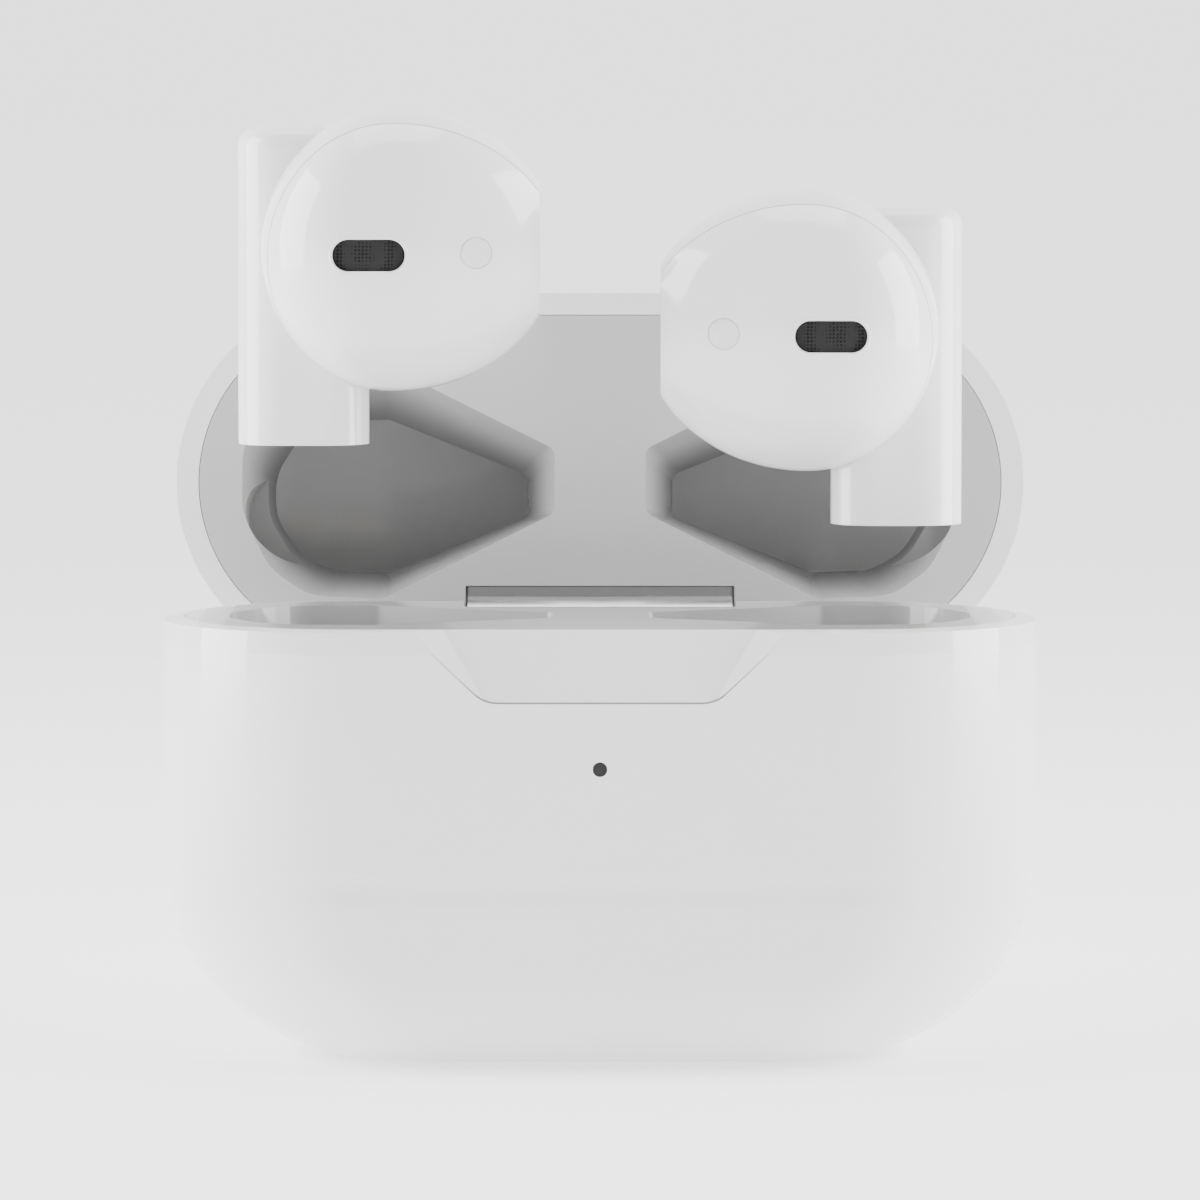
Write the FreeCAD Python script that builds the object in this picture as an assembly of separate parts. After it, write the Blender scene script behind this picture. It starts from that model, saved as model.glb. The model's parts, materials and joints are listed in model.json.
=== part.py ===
"""Pocket charging case for a pair of wireless earbuds, shown open with both earbuds lifted clear of their sockets.

Millimetres. +X is the viewer's right, -Y is the front, +Z is up. The origin is the centre of the flat foot.
"""

import math
import os

import FreeCAD
import Part
from FreeCAD import Vector as V

# ---- case ----
CASE_W = 58.0
CASE_D = 26.0
BASE_H = 29.0
LID_H = 13.5
CORNER_R = 13.25  # round corners of the outline seen from the front
EDGE_R = 7.0  # rounding of the long edges along the foot and along the top of the lid
WALL = 1.5
GAP = 0.05  # clearance between pieces fitted into one another
BAND_H = 1.6  # soft bevel under the rim
BAND_IN = 0.11
CROWN_H = 0.17  # the rim falls away towards the outside, so the lid can roll over it
CROWN_W = 1.0
DECK_T = 1.6
CUP_WALL = 0.9
CURVE_STEPS = 10

# ---- hinge ----
AXIS_Y = 12.0
AXIS_Z = 25.6
OPEN_DEG = 100.0
HINGE_HALF = 9.0
BARREL_R = 1.0
PIN_R = 0.45
LID_KNUCKLE_HALF = 6.0
HINGE_CUT_Y = 7.2  # front edge of the cut-out in the deck
PLATE_T = 0.6

# ---- thumb notch ----
NOTCH_FOOT_Z = 24.35
NOTCH_FOOT_HALF = 7.4
NOTCH_TOP_HALF = 12.3
NOTCH_FLOOR_HALF = 10.15
NOTCH_DEPTH = 1.0

# ---- sockets in the deck and pockets in the lid: outline of the left one, rear half, from the middle outwards ----
POCKET_HALF = [(-3.1, 2.2), (-14.9, 8.1), (-19.9, 7.9), (-22.6, 6.0), (-24.5, 2.2)]
POCKET_CENTRE_X = -13.8
POCKET_EDGE_R = 0.8
POCKET_END_R = 4.0  # rounding of the far end's corners
SOCKET_DEPTH = 11.4
SOCKET_FOOT_SCALE = (0.94, 0.84)
LID_POCKET_DEPTH = 9.0
LID_POCKET_SCALE = (0.82, 0.66)

# ---- earbud, left one, heights above the rim of the base ----
STAGGER = 5.3  # the right earbud stands this much lower
HEAD_TIP_X = -22.4
HEAD_MID_X = -13.7
HEAD_MID_Z = BASE_H + 24.2
HEAD_HALF_H = 9.35
HEAD_REACH = 10.98  # the longer half of the head's oval, towards the nozzle
DEPTH_MID_X = -15.5
HEAD_HALF_D = 6.4
NOZZLE_X = -4.0
NOZZLE_HALF_D = 2.0
BUD_WALL = 0.9
SEAM_Y = -1.6
SEAM_GAP = 0.09
SLOT_X = -15.1
SLOT_Z = BASE_H + 24.0
SLOT_L = 4.7
SLOT_H = 2.05
SENSOR_X = -8.1
SENSOR_Z = BASE_H + 24.1
STEM_X0 = -24.0
STEM_X1 = -15.3
STEM_Y = 1.8
STEM_HALF_D = 3.0
STEM_Z0 = BASE_H + 11.3
STEM_Z1 = BASE_H + 32.3
LEFT_DROP = 25.6  # travel from the lifted place down into the socket

# ---- charging contacts and what the case holds inside ----
WELL_FLOOR_Z = STEM_Z0 - LEFT_DROP - 0.3
PIN_XS = (-21.6, -17.7)
PLUNGER_R = 0.45
DOT_Z = 20.0
DOT_R = 0.45
PORT_HALF_W = 4.47
PORT_HALF_T = 1.6
PORT_TOP_Z = 6.6
KEEPER_Y = -9.5
KEEPER_Z = 32.0
KEEPER_R = 0.6
KEEPER_HALF = 11.4


def slab(x0, x1, y0, y1, z0, z1):
    return Part.makeBox(x1 - x0, y1 - y0, z1 - z0, V(x0, y0, z0))


def rod(radius, start, end):
    direction = V(*end) - V(*start)
    return Part.makeCylinder(radius, direction.Length, V(*start), direction)


def joined(shapes):
    whole = shapes[0].multiFuse(shapes[1:])
    return whole.removeSplitter()


def mirrored(shape):
    return shape.mirror(V(0, 0, 0), V(1, 0, 0))


def both_sides(shape):
    return Part.makeCompound([shape, mirrored(shape)])


def stadium(half_length, half_width, z):
    """Outline with straight long sides and half-round ends."""
    x = half_length - half_width
    rear = Part.LineSegment(V(x, half_width, z), V(-x, half_width, z))
    front = Part.LineSegment(V(-x, -half_width, z), V(x, -half_width, z))
    left = Part.Arc(V(-x, half_width, z), V(-half_length, 0, z), V(-x, -half_width, z))
    right = Part.Arc(V(x, -half_width, z), V(half_length, 0, z), V(x, half_width, z))
    return Part.Wire([rear.toShape(), left.toShape(), front.toShape(), right.toShape()])


def stadium_block(half_length, half_width, z0, z1):
    return Part.Face(stadium(half_length, half_width, z0)).extrude(V(0, 0, z1 - z0))


def rounded_slot(half_length, half_height, x, z, y0, y1):
    """Stadium block lying along X and running front to rear."""
    block = stadium_block(half_length, half_height, 0, y1 - y0)
    block.rotate(V(0, 0, 0), V(1, 0, 0), 90)
    block.translate(V(x, y1, z))
    return block


def arc_reach(size, radius, inset, z):
    """Half size of the case at height z, where its outline rounds in towards the foot."""
    rise = max(radius - z, 0)
    reach = (radius - inset) ** 2 - rise ** 2
    return size / 2 - radius + math.sqrt(max(reach, 0))


def case_body(inset, height):
    """The case's rounded outside from the foot upwards, drawn in by inset."""
    sections = []
    for step in range(CURVE_STEPS + 1):
        z = inset + (CORNER_R - inset) * (1 - math.cos(math.pi / 2 * step / CURVE_STEPS))
        length = arc_reach(CASE_W, CORNER_R, inset, z)
        width = arc_reach(CASE_D, EDGE_R, inset, z)
        sections.append(stadium(length, width, z))
    rounded = Part.makeLoft(sections, True, False)
    straight = stadium_block(CASE_W / 2 - inset, CASE_D / 2 - inset, CORNER_R, height)
    return joined([rounded, straight])


def band(z0, inset0, z1, inset1):
    """Straight-sided ring zone of the case between two heights."""
    low = stadium(CASE_W / 2 - inset0, CASE_D / 2 - inset0, z0)
    high = stadium(CASE_W / 2 - inset1, CASE_D / 2 - inset1, z1)
    return Part.makeLoft([low, high], True, True)


def solid_of(faces):
    shell = Part.makeShell([Part.Face(Part.makePolygon(face + [face[0]])) for face in faces])
    return Part.makeSolid(shell)


def thumb_notch():
    """Shallow recess in the front, deepest at the rim and running out at its foot line."""
    y = -CASE_D / 2
    top = BASE_H + 1
    grow = (top - NOTCH_FOOT_Z) / (BASE_H - NOTCH_FOOT_Z)
    outer = NOTCH_FOOT_HALF + (NOTCH_TOP_HALF - NOTCH_FOOT_HALF) * grow
    floor = NOTCH_FOOT_HALF + (NOTCH_FLOOR_HALF - NOTCH_FOOT_HALF) * grow
    depth = NOTCH_DEPTH * grow
    out = y - 1

    def foot(side, at):
        return V(side * NOTCH_FOOT_HALF, at, NOTCH_FOOT_Z)

    def head(side, at):
        return V(side * outer, at, top)

    left_floor = V(-floor, y + depth, top)
    right_floor = V(floor, y + depth, top)
    return solid_of([
        [head(-1, out), foot(-1, out), foot(1, out), head(1, out)],
        [foot(-1, out), foot(1, out), foot(1, y), foot(-1, y)],
        [head(-1, out), foot(-1, out), foot(-1, y), head(-1, y)],
        [head(1, out), foot(1, out), foot(1, y), head(1, y)],
        [foot(-1, y), foot(1, y), right_floor, left_floor],
        [head(-1, y), foot(-1, y), left_floor],
        [head(1, y), foot(1, y), right_floor],
        [head(-1, out), head(-1, y), left_floor, right_floor, head(1, y), head(1, out)],
    ])


def pocket_outline(grow, scale, z):
    """Outline of the left pocket, grown outwards and then scaled about its centre."""
    rear = []
    for x, y in POCKET_HALF:
        away = 1 if x > POCKET_CENTRE_X else -1
        px = POCKET_CENTRE_X + (x - POCKET_CENTRE_X) * scale[0] + away * grow
        rear.append(V(px, y * scale[1] + grow, z))
    front = [V(p.x, -p.y, p.z) for p in reversed(rear)]
    points = rear + front
    return Part.makePolygon(points + [points[0]])


def pocket(grow, scale, z_rim, z_end):
    """Tapering pocket from the rim to its floor."""
    body = Part.makeLoft([pocket_outline(grow, (1, 1), z_rim), pocket_outline(grow, scale, z_end)], True, True)
    sides = [e for e in body.Edges if abs(e.Vertexes[0].Z - e.Vertexes[1].Z) > 1]
    inner = [e for e in sides if e.Vertexes[0].X > POCKET_CENTRE_X - 3]
    outer = [e for e in sides if e.Vertexes[0].X <= POCKET_CENTRE_X - 3]
    body = body.makeFillet(POCKET_EDGE_R + grow, inner)
    corners = []
    for edge in outer:
        spot = edge.CenterOfMass
        corners += [e for e in body.Edges if (e.CenterOfMass - spot).Length < 0.01]
    return body.makeFillet(POCKET_END_R, corners)


def well(grow, z0, z1):
    """Room for an earbud's stem, left side."""
    half = (STEM_X1 - STEM_X0) / 2 + 0.3 + grow
    block = stadium_block(half, STEM_HALF_D + 0.3 + grow, z0, z1)
    block.translate(V((STEM_X0 + STEM_X1) / 2, STEM_Y, 0))
    return block


def hinge_cut(z0, z1):
    return slab(-HINGE_HALF - 0.2, HINGE_HALF + 0.2, HINGE_CUT_Y, CASE_D / 2 + 1, z0, z1)


def base_shell():
    outside = case_body(0, BASE_H - BAND_H)
    bevel = band(BASE_H - BAND_H, 0, BASE_H - CROWN_H, BAND_IN)
    crown = band(BASE_H - CROWN_H, BAND_IN, BASE_H, CROWN_W)
    shell = joined([outside, bevel, crown])
    shell = shell.cut(case_body(WALL, BASE_H + 1))
    shell = shell.cut(thumb_notch())
    shell = shell.cut(hinge_cut(AXIS_Z - BARREL_R - 0.2, BASE_H + 1))
    shell = shell.cut(rod(DOT_R + 0.03, (0, -CASE_D, DOT_Z), (0, -5, DOT_Z)))
    port = stadium_block(PORT_HALF_W + GAP, PORT_HALF_T + GAP, -1, WALL + 1)
    return shell.cut(port)


def base_tray():
    """Deck with the two sockets the earbuds drop into."""
    floor_z = BASE_H - SOCKET_DEPTH
    inset = WALL + GAP
    deck = stadium_block(CASE_W / 2 - inset, CASE_D / 2 - inset, BASE_H - DECK_T, BASE_H)
    cup = pocket(CUP_WALL, SOCKET_FOOT_SCALE, BASE_H - 0.1, floor_z - CUP_WALL)
    tube = well(CUP_WALL, WELL_FLOOR_Z - CUP_WALL, floor_z + 2)
    room = pocket(0, SOCKET_FOOT_SCALE, BASE_H, floor_z).fuse(well(0, WELL_FLOOR_Z, BASE_H))
    tray = joined([deck, cup, mirrored(cup), tube, mirrored(tube)])
    tray = tray.cut(both_sides(room))
    tray = tray.cut(hinge_cut(AXIS_Z - 3, BASE_H + 1))
    for x in PIN_XS:
        hole = rod(PLUNGER_R + 0.1, (x, STEM_Y, WELL_FLOOR_Z - 3), (x, STEM_Y, WELL_FLOOR_Z + 1))
        tray = tray.cut(both_sides(hole))
    return tray


def upturned(body):
    """Case half turned over so that its foot becomes the top of the closed lid."""
    body.rotate(V(0, 0, 0), V(1, 0, 0), 180)
    body.translate(V(0, 0, BASE_H + LID_H))
    return body


def lid_shell():
    body = case_body(0, LID_H - GAP).cut(case_body(WALL, LID_H + 1))
    return upturned(body).cut(hinge_cut(BASE_H - 1, BASE_H + 1.8))


def keeper_boss():
    z_hold = KEEPER_Z + KEEPER_R + 0.7
    boss = slab(9.6, 11.0, KEEPER_Y - 1.3, KEEPER_Y + 1.3, BASE_H + DECK_T - 0.2, z_hold)
    hole = rod(KEEPER_R + 0.04, (0, KEEPER_Y, KEEPER_Z), (20, KEEPER_Y, KEEPER_Z))
    return boss.cut(hole)


def lid_liner():
    """Liner in the mouth of the lid, with a pocket over each earbud."""
    inset = WALL + GAP
    z0 = BASE_H + GAP
    top = z0 + LID_POCKET_DEPTH
    stem_top = STEM_Z1 - LEFT_DROP + 0.3
    deck = stadium_block(CASE_W / 2 - inset, CASE_D / 2 - inset, z0, BASE_H + DECK_T)
    cup = pocket(CUP_WALL, LID_POCKET_SCALE, z0, top + CUP_WALL)
    room = pocket(0, LID_POCKET_SCALE, z0 - 0.01, top)
    tube = well(CUP_WALL, z0, stem_top + CUP_WALL)
    stem_room = well(0, z0 - 0.01, stem_top)
    bosses = [keeper_boss(), mirrored(keeper_boss())]
    liner = joined([deck, cup, mirrored(cup), tube, mirrored(tube)] + bosses)
    liner = liner.common(upturned(case_body(inset, LID_H + 1)))
    liner = liner.cut(both_sides(room)).cut(both_sides(stem_room))
    return liner.cut(hinge_cut(BASE_H - 1, BASE_H + 0.65)).cut(rear_tab(GAP))


def rear_tab(grow):
    """Plate that closes the rear slot and reaches up into the lid."""
    half = HINGE_HALF + grow
    return slab(-half, half, CASE_D / 2 - PLATE_T - grow, CASE_D / 2 + 1, AXIS_Z, BASE_H + 1.7 + grow)


def hinge_lid_leaf():
    """Polished bent leaf: flange on the liner, curved neck down to the barrel, and the tab behind."""
    half = HINGE_HALF
    flange = slab(-half, half, HINGE_CUT_Y - 0.95 + 1.0, HINGE_CUT_Y + 1.2, BASE_H + 0.1, BASE_H + 0.6)
    outer = [(8.0, 28.95), (8.35, 26.95), (11.4, 25.4)]
    inner = [(11.9, 26.3), (9.15, 27.2), (8.6, 29.3)]
    path = [V(-half, y, z) for y, z in outer + inner]
    neck_wire = Part.Wire([
        Part.Arc(path[0], path[1], path[2]).toShape(),
        Part.LineSegment(path[2], path[3]).toShape(),
        Part.Arc(path[3], path[4], path[5]).toShape(),
        Part.LineSegment(path[5], path[0]).toShape(),
    ])
    neck = Part.Face(neck_wire).extrude(V(2 * half, 0, 0))
    tab = rear_tab(0).common(slab(-half, half, 0, CASE_D / 2 - 0.02, 0, 60))
    barrel = rod(BARREL_R, (-half, AXIS_Y, AXIS_Z), (half, AXIS_Y, AXIS_Z))
    leaf = joined([flange, neck, tab, barrel])
    for side in (-1, 1):
        start = (side * (LID_KNUCKLE_HALF - 0.1), AXIS_Y, AXIS_Z)
        end = (side * (half + 1), AXIS_Y, AXIS_Z)
        leaf = leaf.cut(rod(BARREL_R + 0.15, start, end))
    return leaf.cut(rod(PIN_R + 0.04, (-half, AXIS_Y, AXIS_Z), (half, AXIS_Y, AXIS_Z)))


def hinge_base_leaf():
    """Steel plate inside the rear wall, with a knuckle at each end of the barrel."""
    plate_y = CASE_D / 2 - WALL - 0.1
    pieces = [slab(-HINGE_HALF, HINGE_HALF, plate_y - PLATE_T, plate_y, 17.5, AXIS_Z - BARREL_R - 0.35)]
    for side in (-1, 1):
        inner = side * (LID_KNUCKLE_HALF + 0.1)
        outer = side * HINGE_HALF
        pieces.append(rod(BARREL_R, (inner, AXIS_Y, AXIS_Z), (outer, AXIS_Y, AXIS_Z)))
        low, high = min(inner, outer), max(inner, outer)
        pieces.append(slab(low, high, plate_y - PLATE_T, plate_y, 24, AXIS_Z - 0.45))
    leaf = joined(pieces)
    for x in (-6.5, 6.5):
        leaf = leaf.cut(rod(0.6, (x, 5, 20.5), (x, 15, 20.5)))
    return leaf.cut(rod(PIN_R + 0.02, (-20, AXIS_Y, AXIS_Z), (20, AXIS_Y, AXIS_Z)))


def hinge_screws():
    screws = []
    for x in (-6.5, 6.5):
        head = rod(1.1, (x, 9.6, 20.5), (x, 10.25, 20.5))
        shank = rod(0.5, (x, 10.2, 20.5), (x, 11.45, 20.5))
        drive = slab(x - 0.15, x + 0.15, 9, 9.85, 19.9, 21.1)
        screws.append(head.fuse(shank).cut(drive))
    return Part.makeCompound(screws)


def opened(shape):
    """Lid piece turned from closed to fully open."""
    turned = shape.copy()
    turned.rotate(V(0, AXIS_Y, AXIS_Z), V(1, 0, 0), -OPEN_DEG)
    return turned


def half_height(x):
    reach = HEAD_MID_X - HEAD_TIP_X if x < HEAD_MID_X else HEAD_REACH
    return HEAD_HALF_H * math.sqrt(max(1 - ((x - HEAD_MID_X) / reach) ** 2, 0))


def half_depth(x):
    if x < DEPTH_MID_X:
        reach = DEPTH_MID_X - HEAD_TIP_X
        return HEAD_HALF_D * math.sqrt(max(1 - ((x - DEPTH_MID_X) / reach) ** 2, 0))
    along = (x - DEPTH_MID_X) / (NOZZLE_X - DEPTH_MID_X)
    return HEAD_HALF_D - (HEAD_HALF_D - NOZZLE_HALF_D) * along ** 1.6


def head(inset, x_end):
    """Oval head of the earbud, tapering to the nozzle, drawn in by inset."""
    start = HEAD_TIP_X + inset + 0.02
    sections = []
    count = 14
    for step in range(count + 1):
        x = start + (x_end - start) * (1 - math.cos(math.pi / 2 * step / count))
        outer_x = HEAD_TIP_X + (x - start + 0.02) * (x_end - HEAD_TIP_X) / (x_end - start + 0.02)
        high = max(half_height(outer_x) - inset, 0.3)
        deep = max(half_depth(outer_x) - inset, 0.2)
        curve = Part.Ellipse(V(x, 0, HEAD_MID_Z + high), V(x, deep, HEAD_MID_Z), V(x, 0, HEAD_MID_Z))
        sections.append(Part.Wire([curve.toShape()]))
    return Part.makeLoft(sections, True, False)


def seam_side(shift):
    """Everything in front of the seam between the two halves of the head."""
    corners = []
    for x, z in ((-40, -25), (20, -25), (20, 25), (-40, 25)):
        y = SEAM_Y - 0.145 * z + 0.12 * (x - HEAD_MID_X) + shift
        corners.append(V(x, y, HEAD_MID_Z + z))
    return Part.Face(Part.makePolygon(corners + [corners[0]])).extrude(V(0, -30, 0))


def stem(inset, z0, z1):
    block = stadium_block((STEM_X1 - STEM_X0) / 2 - inset, STEM_HALF_D - inset, z0, z1)
    block.translate(V((STEM_X0 + STEM_X1) / 2, STEM_Y, 0))
    return block


def stem_outside():
    block = stem(0, STEM_Z0, STEM_Z1)
    rim = [e for e in block.Edges if e.BoundBox.ZMin > STEM_Z1 - 0.01]
    return block.makeFillet(1.3, rim)


def nozzle_oval(inset, x0, x1):
    high = half_height(NOZZLE_X) - inset
    deep = NOZZLE_HALF_D - inset
    curve = Part.Ellipse(V(x0, 0, HEAD_MID_Z + high), V(x0, deep, HEAD_MID_Z), V(x0, 0, HEAD_MID_Z))
    return Part.Face(Part.Wire([curve.toShape()])).extrude(V(x1 - x0, 0, 0))


def sensor_disc(radius):
    return rod(radius, (SENSOR_X, -12, SENSOR_Z), (SENSOR_X, 0, SENSOR_Z))


def slot_block(grow):
    return rounded_slot(SLOT_L / 2 + grow, SLOT_H / 2 + grow, SLOT_X, SLOT_Z, -12, 0)


def bud_pieces():
    """Every piece of the left earbud, lifted out of its socket."""
    outside = head(0, NOZZLE_X)
    inside = head(BUD_WALL, NOZZLE_X - 1.0)
    skin = outside.cut(head(0.3, NOZZLE_X - 1.0))
    sheet = head(0.25, NOZZLE_X - 1.0).cut(head(0.7, NOZZLE_X - 1.0))
    opening = nozzle_oval(0.75, NOZZLE_X - 3, NOZZLE_X + 1)
    front = seam_side(0)

    face = outside.common(front).cut(inside).cut(opening)
    face = face.cut(slot_block(0.02)).cut(sensor_disc(1.03).common(skin))
    rear = joined([outside, stem_outside()])
    rear = rear.cut(outside.common(seam_side(SEAM_GAP))).cut(inside).cut(opening)
    rear = rear.cut(stem(0.8, STEM_Z0 - 1, STEM_Z1 - 1.2))

    mid_z = HEAD_MID_Z
    cap = stem(0.85, STEM_Z0 + 0.15, STEM_Z0 + 1.5)
    pads = []
    for x in PIN_XS:
        cap = cap.cut(rod(1.02, (x, STEM_Y, STEM_Z0), (x, STEM_Y, STEM_Z0 + 0.6)))
        pads.append(rod(1.0, (x, STEM_Y, STEM_Z0 + 0.02), (x, STEM_Y, STEM_Z0 + 0.58)))
    driver = rod(4.5, (-14.2, -2.6, mid_z), (-14.2, 0.0, mid_z)).fuse(rod(3.2, (-14.2, -3.1, mid_z), (-14.2, -2.6, mid_z)))
    return {
        "rear_shell": rear,
        "face_shell": face,
        "speaker_mesh": slot_block(0).common(sheet),
        "sensor_window": sensor_disc(1.0).common(outside.cut(head(0.28, NOZZLE_X - 1.0))),
        "nozzle_mesh": nozzle_oval(0.8, NOZZLE_X - 0.9, NOZZLE_X - 0.35),
        "speaker_driver": driver,
        "coin_cell": rod(4.1, (-14.2, 0.5, mid_z), (-14.2, 4.0, mid_z)),
        "stem_board": slab(-22.4, -19.4, STEM_Y - 0.3, STEM_Y + 0.3, STEM_Z0 + 2.2, STEM_Z1 - 2.4),
        "stem_cap": cap,
        "charge_pads": Part.makeCompound(pads),
    }


def plungers():
    """Two sprung contact pins under the left stem."""
    pins = []
    top = STEM_Z0 - LEFT_DROP - 0.05
    for x in PIN_XS:
        tip = rod(PLUNGER_R, (x, STEM_Y, WELL_FLOOR_Z - 3.0), (x, STEM_Y, top))
        foot = rod(PLUNGER_R + 0.25, (x, STEM_Y, WELL_FLOOR_Z - 3.0), (x, STEM_Y, WELL_FLOOR_Z - 2.4))
        pins.append(tip.fuse(foot).removeSplitter())
    return Part.makeCompound(pins)


def plunger_block():
    """Plastic block that the left pair of pins slides in."""
    z1 = WELL_FLOOR_Z - CUP_WALL - GAP
    block = slab(-24.0, -15.4, STEM_Y - 2.2, STEM_Y + 2.2, z1 - 4.2, z1)
    for x in PIN_XS:
        block = block.cut(rod(PLUNGER_R + 0.05, (x, STEM_Y, 0), (x, STEM_Y, z1 + 1)))
        block = block.cut(rod(PLUNGER_R + 0.32, (x, STEM_Y, z1 - 3.6), (x, STEM_Y, WELL_FLOOR_Z - 2.35)))
    return block


def usb_shell():
    outer = stadium_block(PORT_HALF_W, PORT_HALF_T, 0.1, PORT_TOP_Z)
    return outer.cut(stadium_block(PORT_HALF_W - 0.3, PORT_HALF_T - 0.3, -1, PORT_TOP_Z - 0.5))


def main_board():
    board = slab(-13, 13, -6, 6, PORT_TOP_Z + GAP, PORT_TOP_Z + 0.85)
    chips = [slab(-9, -4.5, -3, 2, PORT_TOP_Z + 0.8, PORT_TOP_Z + 1.5), slab(3, 6, -2, 1.5, PORT_TOP_Z + 0.8, PORT_TOP_Z + 1.4)]
    return joined([board] + chips)


def battery():
    cell = slab(-12.2, 12.2, -6.5, 6.5, PORT_TOP_Z + 1.7, 15.2)
    edges = [e for e in cell.Edges if abs(e.Vertexes[0].X - e.Vertexes[1].X) > 5]
    return cell.makeFillet(1.2, edges)


def status_lens():
    return rod(DOT_R, (0, -CASE_D / 2 + 0.06, DOT_Z), (0, -CASE_D / 2 + WALL + 0.4, DOT_Z))


def sensor_board():
    return slab(-2.4, 2.4, -9.9, -9.5, 15.6, 24.6)


def status_led():
    return slab(-0.8, 0.8, -10.6, -9.95, DOT_Z - 0.4, DOT_Z + 0.4)


def lid_sensor():
    return slab(-1.4, 1.4, -10.7, -9.95, 22.2, 23.8)


def latch_magnet():
    return slab(-4, 4, -11.3, -9.3, 25.1, BASE_H - DECK_T - GAP)


def seat_magnets():
    return both_sides(rod(2.2, (-8.5, 0, 15.4), (-8.5, 0, 16.6)))


def lid_sense_magnet():
    return slab(-2, 2, -8.0, -6.0, BASE_H + DECK_T + GAP, BASE_H + DECK_T + 1.2)


def keeper_rod():
    return rod(KEEPER_R, (-KEEPER_HALF, KEEPER_Y, KEEPER_Z), (KEEPER_HALF, KEEPER_Y, KEEPER_Z))


def build():
    pieces = {
        "base_shell": base_shell(),
        "base_tray": base_tray(),
        "battery": battery(),
        "main_board": main_board(),
        "usb_c_shell": usb_shell(),
        "usb_c_tongue": slab(-3.3, 3.3, -0.35, 0.35, 1.0, PORT_TOP_Z - 0.5),
        "status_light_lens": status_lens(),
        "status_light": status_led(),
        "sensor_board": sensor_board(),
        "lid_sensor": lid_sensor(),
        "latch_magnet": latch_magnet(),
        "seat_magnets": seat_magnets(),
        "hinge_base_leaf": hinge_base_leaf(),
        "hinge_screws": hinge_screws(),
        "hinge_pin": rod(PIN_R, (-HINGE_HALF, AXIS_Y, AXIS_Z), (HINGE_HALF, AXIS_Y, AXIS_Z)),
        "left_contact_block": plunger_block(),
        "right_contact_block": mirrored(plunger_block()),
        "left_contact_pins": plungers(),
        "right_contact_pins": mirrored(plungers()),
        "lid_shell": opened(lid_shell()),
        "lid_liner": opened(lid_liner()),
        "hinge_lid_leaf": opened(hinge_lid_leaf()),
        "lid_sense_magnet": opened(lid_sense_magnet()),
        "lid_keeper_rod": opened(keeper_rod()),
    }
    for name, shape in bud_pieces().items():
        pieces["left_bud_" + name] = shape
        lower = mirrored(shape)
        lower.translate(V(0, 0, -STAGGER))
        pieces["right_bud_" + name] = lower
    return pieces


os.makedirs("parts", exist_ok=True)
for name, shape in build().items():
    shape.exportStep("parts/" + name + ".step")
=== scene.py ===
import json
import math

import bmesh
import bpy
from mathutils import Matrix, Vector

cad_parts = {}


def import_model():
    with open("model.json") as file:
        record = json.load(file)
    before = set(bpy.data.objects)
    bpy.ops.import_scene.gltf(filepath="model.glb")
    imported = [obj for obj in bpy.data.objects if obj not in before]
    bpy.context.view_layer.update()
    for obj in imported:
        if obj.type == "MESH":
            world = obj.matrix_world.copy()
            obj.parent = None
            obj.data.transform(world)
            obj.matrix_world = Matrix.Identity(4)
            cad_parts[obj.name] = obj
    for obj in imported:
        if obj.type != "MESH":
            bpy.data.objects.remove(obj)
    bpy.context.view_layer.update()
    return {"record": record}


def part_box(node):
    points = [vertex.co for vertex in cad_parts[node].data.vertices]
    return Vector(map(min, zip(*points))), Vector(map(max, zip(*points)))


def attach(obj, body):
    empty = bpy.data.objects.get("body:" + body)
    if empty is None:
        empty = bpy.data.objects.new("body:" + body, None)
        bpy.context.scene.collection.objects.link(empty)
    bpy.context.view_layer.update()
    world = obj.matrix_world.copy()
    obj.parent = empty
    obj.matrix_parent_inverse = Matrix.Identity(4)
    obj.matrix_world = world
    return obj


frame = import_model()

MM = 0.001

# ---------------------------------------------------------------- shader helpers

MIXED_COLOUR = 2  # the Mix node's colour output
DOT_VALUE = 1  # the Vector Math node's number output


class Socket:
    """One output of a material's nodes, which adds, subtracts and scales like a number."""

    def __init__(self, mat, out):
        self.mat = mat
        self.out = out

    def math(self, kind, first, second):
        return self.mat.node("ShaderNodeMath", {"operation": kind}, {0: first, 1: second})

    def __add__(self, other):
        return self.math("ADD", self, other)

    def __radd__(self, other):
        return self.math("ADD", other, self)

    def __sub__(self, other):
        return self.math("SUBTRACT", self, other)

    def __rsub__(self, other):
        return self.math("SUBTRACT", other, self)

    def __mul__(self, other):
        return self.math("MULTIPLY", self, other)

    def __rmul__(self, other):
        return self.math("MULTIPLY", other, self)

    def above(self, level, width):
        """0 below level, 1 above it, soft over width."""
        settings = {"interpolation_type": "SMOOTHSTEP"}
        inputs = {0: self, 1: level - width, 2: level + width}
        return self.mat.node("ShaderNodeMapRange", settings, inputs)


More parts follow.
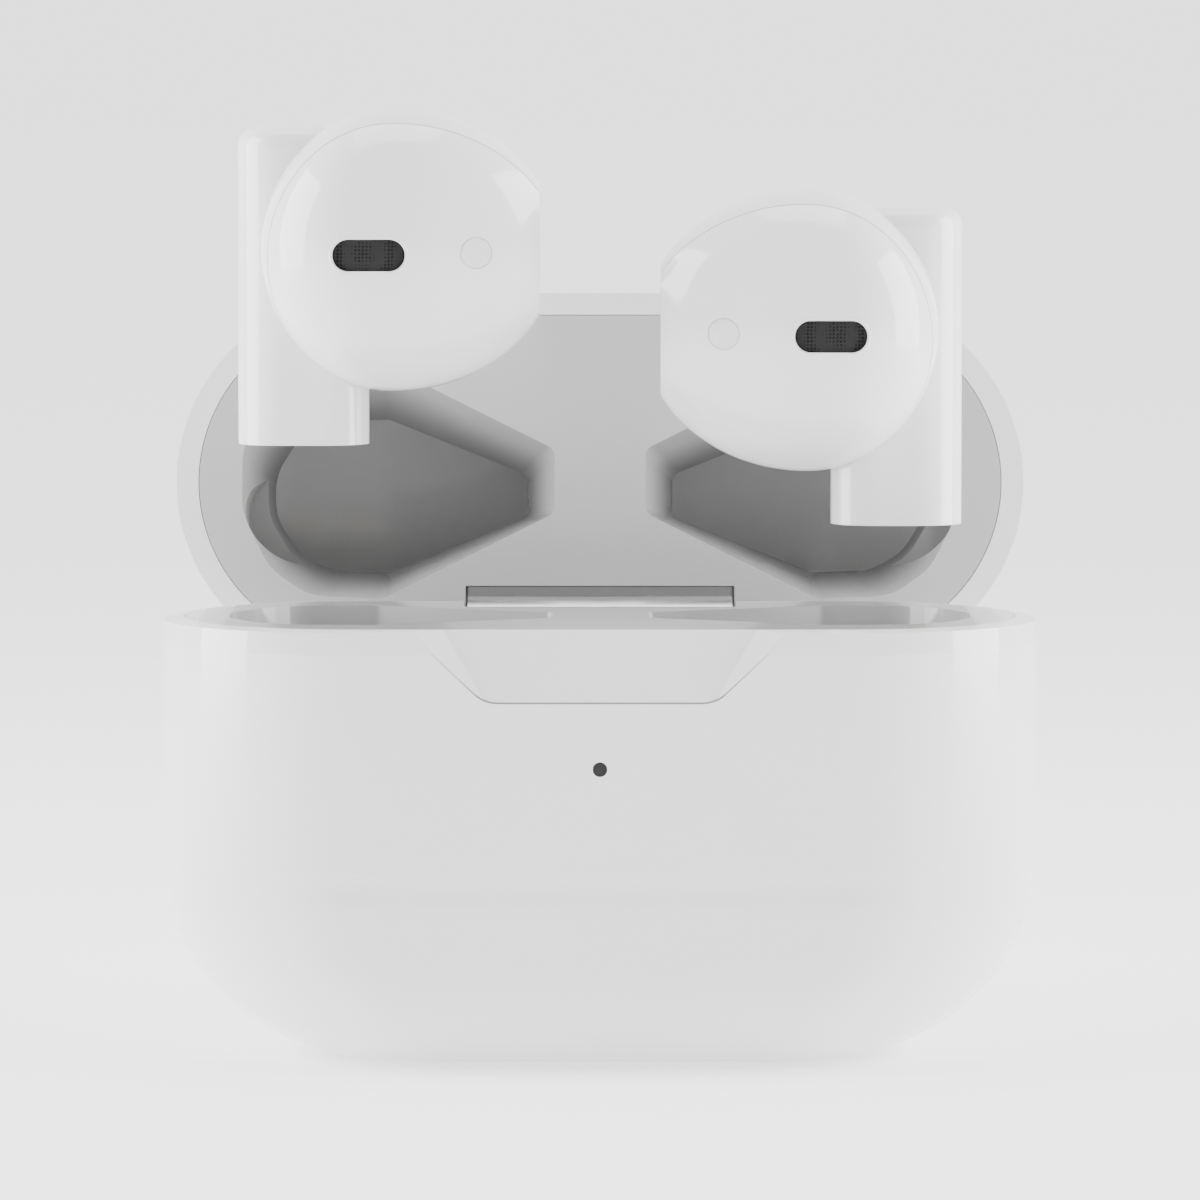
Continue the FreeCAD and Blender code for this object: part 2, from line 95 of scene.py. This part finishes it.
class Material:
    """A principled material whose constants are set on the shader's own sockets."""

    def __init__(self, name, **constants):
        self.data = bpy.data.materials.new(name)
        self.data.use_nodes = True
        self.tree = self.data.node_tree
        self.shader = self.tree.nodes["Principled BSDF"]
        for key, value in constants.items():
            self.shader.inputs[key.replace("_", " ")].default_value = value

    def node(self, kind, settings=None, inputs=None, output=0):
        """New node: its settings first, then the values or links of its inputs."""
        made = self.tree.nodes.new(kind)
        for key, value in (settings or {}).items():
            setattr(made, key, value)
        for key, value in (inputs or {}).items():
            self.put(made.inputs[key], value)
        return Socket(self, made.outputs[output])

    def put(self, target, value):
        if isinstance(value, Socket):
            self.tree.links.new(value.out, target)
        else:
            target.default_value = value

    def set(self, **links):
        """Feed the shader's own sockets, named with _ for a space."""
        for key, value in links.items():
            self.put(self.shader.inputs[key.replace("_", " ")], value)

    def place(self, scale=(1, 1, 1)):
        """Object position in metres, stretched by scale."""
        spot = self.node("ShaderNodeTexCoord", output="Object")
        return self.node("ShaderNodeVectorMath", {"operation": "MULTIPLY"}, {0: spot, 1: scale})

    def noise(self, scale, detail=3.0, rough=0.5, stretch=(1, 1, 1)):
        inputs = {"Vector": self.place(stretch), "Scale": scale, "Detail": detail}
        inputs["Roughness"] = rough
        return self.node("ShaderNodeTexNoise", {}, inputs)

    def mix(self, mask, first, second):
        """Colour that goes from first to second as mask goes from 0 to 1."""
        inputs = {"Factor": mask, "A": first, "B": second}
        return self.node("ShaderNodeMix", {"data_type": "RGBA"}, inputs, MIXED_COLOUR)

    def bump(self, height, strength, distance):
        inputs = {"Height": height, "Strength": strength, "Distance": distance}
        self.set(Normal=self.node("ShaderNodeBump", {}, inputs))


def grey(level, warm=0.0):
    """Grey of one level, turned a little to red and away from blue by warm."""
    return (level + warm, level, level - warm, 1)


PLASTIC_IOR = 1.49
SKIN_STRENGTH = 0.25
SATIN_GRAIN = 3400
SATIN_DEPTH = 0.006 * MM


def plastic(name, colour, shade, rough, coat, grain, grain_depth, subsurface=0.0):
    """Moulded plastic: faint flow shading, handling haze in the gloss and a very fine skin."""
    mat = Material(
        name,
        IOR=PLASTIC_IOR,
        Coat_Weight=coat,
        Coat_Roughness=0.03,
        Coat_IOR=1.5,
        Subsurface_Weight=subsurface,
        Subsurface_Radius=(0.6, 0.6, 0.65),
        Subsurface_Scale=1.5 * MM,
    )
    flow = mat.noise(70, 2)
    haze = mat.noise(260, 5, 0.6).above(0.56, 0.3)
    mat.set(Base_Color=mat.mix(flow, colour, shade))
    mat.set(Roughness=haze * 0.05 + rough)
    mat.bump(mat.noise(grain, 4), SKIN_STRENGTH, grain_depth)
    return mat


def depth_shaded_satin(name, origin, inward, shallow, deep, colour, shade):
    """Satin liner with painted shade: the deeper a spot lies, measured inward from origin, the
    darker grey its colour, standing in for the shade in its hollows.
    """
    mat = Material(name, IOR=PLASTIC_IOR, Coat_Weight=0.45, Coat_Roughness=0.06)
    subtract, dot = {"operation": "SUBTRACT"}, {"operation": "DOT_PRODUCT"}
    spot = mat.node("ShaderNodeTexCoord", output="Object")
    away = mat.node("ShaderNodeVectorMath", subtract, {0: spot, 1: origin})
    depth = mat.node("ShaderNodeVectorMath", dot, {0: away, 1: inward}, DOT_VALUE)
    # painted shade mask: 0 near the mouth, 1 deep in the hollows (it also roughens the satin
    # there)
    depth_shade = depth.above((shallow + deep) / 2, (deep - shallow) / 2)
    grain = mat.noise(SATIN_GRAIN, 4)
    # painted shade: the base colour goes to the darker shade grey as depth rises
    mat.set(Base_Color=mat.mix(depth_shade, colour, shade))
    mat.set(Roughness=mat.noise(240, 4) * 0.03 + depth_shade * 0.08 + 0.17)
    mat.bump(grain, SKIN_STRENGTH, SATIN_DEPTH)
    return mat


def metal(name, colour, shade, rough, stretch, scale, depth, tarnish=0.06):
    """Worked metal: lines along one way, uneven polish and a trace of handling."""
    mat = Material(name, Metallic=1.0, Anisotropic=0.4)
    lines = mat.noise(scale, 6, 0.7, stretch)
    spots = mat.noise(900, 3).above(0.6, 0.1)
    mat.set(Base_Color=mat.mix(lines, colour, shade))
    mat.set(Roughness=lines * 0.14 + spots * tarnish + rough)
    mat.bump(lines, 0.3, depth)
    return mat


def woven(name):
    """Fine black acoustic mesh: round holes in rows."""
    mat = Material(name, Specular_IOR_Level=0.25)
    grid = {"Vector": mat.place(), "Scale": 4200, "Randomness": 0.12}
    cells = mat.node("ShaderNodeTexVoronoi", {"feature": "F1"}, grid)
    wires = cells.above(0.34, 0.1)
    mat.set(Base_Color=mat.mix(wires, grey(0.001), grey(0.014)), Roughness=0.8 - wires * 0.15)
    mat.bump(wires, 0.8, 0.06 * MM)
    return mat


def board(name):
    """Solder mask with tracks showing through."""
    mat = Material(name, Coat_Weight=0.3)
    wave = {"Vector": mat.place(), "Scale": 420.0, "Distortion": 6.0, "Detail": 2.0}
    tracks = mat.node("ShaderNodeTexWave", {"wave_type": "BANDS"}, wave).above(0.7, 0.08)
    mat.set(Base_Color=mat.mix(tracks, (0.01, 0.09, 0.045, 1), (0.02, 0.16, 0.08, 1)))
    mat.set(Roughness=0.4 - tracks * 0.1)
    mat.bump(tracks, 0.4, 0.03 * MM)
    return mat


WHITE, WHITE_SHADE = grey(0.84), grey(0.81)
BUD_WHITE, BUD_SHADE = grey(0.87), grey(0.85)
GOLD, GOLD_SHADE = (0.83, 0.56, 0.22, 1), (0.7, 0.45, 0.16, 1)
PHOSPHOR, PHOSPHOR_SHADE = (0.75, 0.7, 0.45, 1), (0.7, 0.64, 0.38, 1)

# how far lines are drawn out along each axis: brushed along X, or even all round
ALONG_X = (0.02, 1, 1)
EVEN = (1, 1, 1)

LOOKS = {
    "case_shell": plastic(
        "case_shell_white", WHITE, WHITE_SHADE,
        rough=0.07, coat=0.6, grain=2600, grain_depth=0.0025 * MM),
    "case_liner": plastic(
        "case_liner_satin", grey(0.45), grey(0.42),
        rough=0.2, coat=0.35, grain=SATIN_GRAIN, grain_depth=SATIN_DEPTH),
    "bud_shell": plastic(
        "bud_shell_white", BUD_WHITE, BUD_SHADE,
        rough=0.09, coat=0.5, grain=2600, grain_depth=0.0025 * MM, subsurface=0.1),
    "dark_mesh": woven("acoustic_mesh"),
    "hinge_steel": metal(
        "hinge_steel_brushed", grey(0.66), grey(0.5),
        rough=0.14, stretch=ALONG_X, scale=9000, depth=0.006 * MM),
    "pin_steel": metal(
        "pin_steel_ground", grey(0.55), grey(0.42),
        rough=0.2, stretch=EVEN, scale=5000, depth=0.004 * MM),
    "magnet_nickel": metal(
        "magnet_nickel", grey(0.62, 0.02), grey(0.5, 0.02),
        rough=0.16, stretch=EVEN, scale=2500, depth=0.005 * MM),
    "contact_gold": metal(
        "contact_gold", GOLD, GOLD_SHADE,
        rough=0.15, stretch=EVEN, scale=6000, depth=0.003 * MM),
    "cell_wrap": metal(
        "cell_foil", grey(0.55), grey(0.46),
        rough=0.3, stretch=EVEN, scale=1500, depth=0.03 * MM),
    "circuit_board": board("circuit_board"),
    "moulded_black": plastic(
        "moulded_black", grey(0.02), grey(0.028),
        rough=0.4, coat=0.0, grain=3000, grain_depth=0.01 * MM),
    "light_lens": plastic(
        "light_lens_smoked", grey(0.001), grey(0.003),
        rough=0.5, coat=0.0, grain=2600, grain_depth=0.002 * MM),
    "light_package": plastic(
        "light_package", PHOSPHOR, PHOSPHOR_SHADE,
        rough=0.35, coat=0.1, grain=3000, grain_depth=0.006 * MM),
    "sensor_lens": plastic(
        "sensor_lens", grey(0.78), grey(0.76),
        rough=0.12, coat=0.5, grain=3000, grain_depth=0.003 * MM),
    "driver_can": metal(
        "driver_can_drawn", grey(0.5), grey(0.4),
        rough=0.25, stretch=EVEN, scale=3000, depth=0.01 * MM),
}

JOINTS = {joint["name"]: joint for joint in frame["record"]["behaviour"]["joints"]}
LID_TURN = math.radians(JOINTS["lid_hinge"]["range_deg"][1])
LID_INWARD = (0, math.sin(LID_TURN), math.cos(LID_TURN))
DECK_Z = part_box("base_shell")[1][2]
LID_MOUTH_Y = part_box("lid_liner")[0][1]
LID_FOOT_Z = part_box("lid_liner")[0][2]

# the two liners carry painted shade that darkens with depth into their hollows, so each has a
# look of its own
OWN_LOOKS = {
    "base_tray": depth_shaded_satin(
        "tray_satin", origin=(0, 0, DECK_Z), inward=(0, 0, -1),
        shallow=0.8 * MM, deep=8 * MM, colour=grey(0.5), shade=grey(0.26)),
    "lid_liner": depth_shaded_satin(
        "liner_satin", origin=(0, LID_MOUTH_Y, LID_FOOT_Z), inward=LID_INWARD,
        shallow=1.5 * MM, deep=9.5 * MM, colour=grey(0.45), shade=grey(0.2)),
}

SLOT_OF = {entry["node"]: entry["material_slot"] for entry in frame["record"]["subparts"]}
for name, slot_name in SLOT_OF.items():
    obj = bpy.data.objects[name]
    if not obj.material_slots:
        obj.data.materials.append(LOOKS[slot_name].data)
    for slot in obj.material_slots:
        slot.material = OWN_LOOKS.get(name, LOOKS[slot_name]).data

# ---------------------------------------------------------------- pieces finer than the frame


def mesh_of(bm, name):
    """Mesh made from bm, with its faces turned outward."""
    bmesh.ops.recalc_face_normals(bm, faces=bm.faces)
    mesh = bpy.data.meshes.new(name)
    bm.to_mesh(mesh)
    bm.free()
    return mesh


def linked(name, mesh, material, body):
    """Piece that rides on a body of the frame and fills one of its material slots."""
    mesh.materials.append(material)
    obj = bpy.data.objects.new(name, mesh)
    bpy.context.scene.collection.objects.link(obj)
    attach(obj, body)
    return obj


def rounded_path(points, radius, steps=6):
    """Open path in the XZ plane with its corners rounded."""
    path = [Vector(points[0])]
    for before, corner, after in zip(points, points[1:], points[2:]):
        corner = Vector(corner)
        back = (Vector(before) - corner).normalized() * radius
        ahead = (Vector(after) - corner).normalized() * radius
        for step in range(steps + 1):
            t = step / steps
            path.append(corner + back * (1 - t) ** 2 + ahead * t ** 2)
    path.append(Vector(points[-1]))
    return path


def shadow_strip(name, path, y, width, proud, taper):
    """Fine crowned strip following a path on the front face, thinning out at both ends; it
    carries a painted shadow line.
    """
    bm = bmesh.new()
    rows = []
    last = len(path) - 1
    for i, point in enumerate(path):
        along = (path[min(i + 1, last)] - path[max(i - 1, 0)]).normalized()
        side = Vector((-along.y, along.x))
        thin = min(1.0, 0.15 + min(i, last - i) / taper)
        row = []
        for across, lift in ((-0.5, 0), (-0.25, 0.8), (0.25, 0.8), (0.5, 0)):
            spot = point + side * across * width * thin
            row.append(bm.verts.new((spot.x, y - lift * proud, spot.y)))
        rows.append(row)
    for a, b in zip(rows, rows[1:]):
        for k in range(3):
            bm.faces.new((a[k], b[k], b[k + 1], a[k + 1]))
    return mesh_of(bm, name)


SHELL_LOW, SHELL_HIGH = (Vector(corner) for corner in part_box("base_shell"))
RIM = SHELL_HIGH.z
FRONT = SHELL_LOW.y

# foot of the thumb notch in the front wall, with short rises at both ends
NOTCH_FOOT_HALF = 7.5 * MM
NOTCH_END_HALF = 10.9 * MM
NOTCH_FOOT_Z = RIM - 4.7 * MM
NOTCH_END_Z = RIM - 1.5 * MM
NOTCH_CORNER_R = 0.9 * MM
LINE_WIDTH = 0.1 * MM
LINE_PROUD = 0.02 * MM
LINE_SUNK = 0.001 * MM
LINE_TAPER = 2.0

# painted shadow: a dark strip laid along the edge of the thumb notch, where shade falls
NOTCH_SHADOW_LOOK = plastic(
    "notch_shadow_line", grey(0.2), grey(0.16),
    rough=0.5, coat=0.0, grain=3000, grain_depth=0.004 * MM)
notch_corners = [
    (-NOTCH_END_HALF, NOTCH_END_Z),
    (-NOTCH_FOOT_HALF, NOTCH_FOOT_Z),
    (NOTCH_FOOT_HALF, NOTCH_FOOT_Z),
    (NOTCH_END_HALF, NOTCH_END_Z),
]
notch_path = rounded_path(notch_corners, NOTCH_CORNER_R)
notch_mesh = shadow_strip(
    "notch_line", notch_path, FRONT + LINE_SUNK, LINE_WIDTH, LINE_PROUD, LINE_TAPER)
linked("notch_line", notch_mesh, NOTCH_SHADOW_LOOK.data, "case_base")


def tube(name, centres, normals, radius, flat, sides=10):
    """Closed soft bead through centres, flattened along normals."""
    bm = bmesh.new()
    rings = []
    count = len(centres)
    for i, centre in enumerate(centres):
        along = (centres[(i + 1) % count] - centres[i - 1]).normalized()
        across = along.cross(normals[i]).normalized()
        ring = []
        for k in range(sides):
            turn = math.tau * k / sides
            spot = centre + across * radius * math.cos(turn)
            spot += normals[i] * radius * flat * math.sin(turn)
            ring.append(bm.verts.new(spot))
        rings.append(ring)
    for i in range(count):
        a, b = rings[i], rings[(i + 1) % count]
        for k in range(sides):
            face = bm.faces.new((a[k], b[k], b[(k + 1) % sides], a[(k + 1) % sides]))
            face.smooth = True
    return mesh_of(bm, name)


def stadium_ring(x, z, half_length, half_height, grow, count=72):
    """Points round a slot lying along X, evenly spaced in angle at its ends."""
    points = []
    radius = half_height + grow
    for step in range(count):
        turn = math.tau * (step + 0.5) / count
        end = math.copysign(half_length - half_height, math.cos(turn))
        points.append((x + end + radius * math.cos(turn), z + radius * math.sin(turn)))
    return points


IN_FRONT = -50 * MM
BACKWARD = Vector((0, 1, 0))
LIP_RADIUS = 0.12 * MM
LIP_GROW = 0.13 * MM
LIP_FLAT = 0.55


def bead_on(name, node, points, radius, flat, look, body):
    """Bead that lies on the front surface of a node, found by looking at it from the front."""
    surface = bpy.data.objects[node]
    centres, normals = [], []
    for x, z in points:
        hit, spot, normal, _ = surface.ray_cast(Vector((x, IN_FRONT, z)), BACKWARD)
        if hit:
            centres.append(spot)
            normals.append(normal)
    bead = tube(name, centres, normals, radius, flat)
    return linked(name, bead, look.data, body)


def middle(node):
    """Centre and half size of a node's box."""
    low, high = (Vector(corner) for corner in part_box(node))
    return (low + high) / 2, (high - low) / 2


for side in ("left", "right"):
    spot, half = middle(side + "_bud_speaker_mesh")
    ring = stadium_ring(spot.x, spot.z, half.x, half.z, LIP_GROW)
    bud = side + "_bud"
    bead_on(side + "_slot_lip", bud + "_face_shell", ring, LIP_RADIUS, LIP_FLAT,
            LOOKS["bud_shell"], bud)

# ---------------------------------------------------------------- stage, light and camera

ELEVATION = math.radians(4.4)
DISTANCE = 0.5
FRAME_WIDTH = 0.0795
AIM = Vector((0, 0, 0.03))
FLOOR_HALF = 4.0
ROOM_FRONT = 0.38
ROOM_BEHIND = 2.35


def floor():
    """White paper sweep that glows a little, as if lit from below."""
    mesh = bpy.data.meshes.new("floor")
    corners = [(-1, -1), (1, -1), (1, 1), (-1, 1)]
    spots = [(x * FLOOR_HALF, y * FLOOR_HALF, 0) for x, y in corners]
    mesh.from_pydata(spots, [], [(0, 1, 2, 3)])
    obj = bpy.data.objects.new("floor", mesh)
    bpy.context.scene.collection.objects.link(obj)
    mat = Material("floor_paper", Specular_IOR_Level=0.1, Emission_Strength=0.9)
    mat.shader.inputs["Emission Color"].default_value = grey(1)
    mat.set(Base_Color=mat.mix(mat.noise(3, 2), grey(0.93), grey(0.91)), Roughness=0.8)
    mesh.materials.append(mat.data)


def softbox(name, spot, size, power):
    """Rectangular lamp at spot that faces the aim point."""
    light = bpy.data.lights.new(name, "AREA")
    light.shape = "RECTANGLE"
    light.size, light.size_y = size
    light.energy = power
    obj = bpy.data.objects.new(name, light)
    obj.location = spot
    obj.rotation_euler = (AIM - Vector(spot)).to_track_quat("-Z", "Y").to_euler()
    bpy.context.scene.collection.objects.link(obj)


def world(front, behind):
    """Studio room: dim on the viewer's side, bright at the sides and behind."""
    data = bpy.data.worlds.new("studio")
    data.use_nodes = True
    nodes = data.node_tree.nodes
    links = data.node_tree.links
    back = nodes["Background"]
    back.inputs["Color"].default_value = grey(1)
    spot = nodes.new("ShaderNodeTexCoord")
    split = nodes.new("ShaderNodeSeparateXYZ")
    ramp = nodes.new("ShaderNodeMapRange")
    ramp.interpolation_type = "SMOOTHSTEP"
    limits = {"From Min": -0.7, "From Max": 0.35, "To Min": front, "To Max": behind}
    for key, value in limits.items():
        ramp.inputs[key].default_value = value
    links.new(spot.outputs["Generated"], split.inputs[0])
    links.new(split.outputs["Y"], ramp.inputs["Value"])
    links.new(ramp.outputs["Result"], back.inputs["Strength"])
    bpy.context.scene.world = data


def camera():
    """Long lens a little above the table, square on to the front."""
    data = bpy.data.cameras.new("view")
    data.sensor_width = 36
    data.lens = data.sensor_width * DISTANCE / FRAME_WIDTH
    data.clip_start = 0.01
    obj = bpy.data.objects.new("view", data)
    away = Vector((0, -math.cos(ELEVATION), math.sin(ELEVATION)))
    obj.location = AIM + away * DISTANCE
    obj.rotation_euler = (-away).to_track_quat("-Z", "Y").to_euler()
    bpy.context.scene.collection.objects.link(obj)
    bpy.context.scene.camera = obj


floor()
world(ROOM_FRONT, ROOM_BEHIND)
for name, x in (("left_box", -0.3), ("right_box", 0.3)):
    softbox(name, (x, -0.03, 0.1), size=(0.2, 0.34), power=2.2)
softbox("top_box", (0, 0, 0.45), size=(0.3, 0.2), power=0.8)
camera()
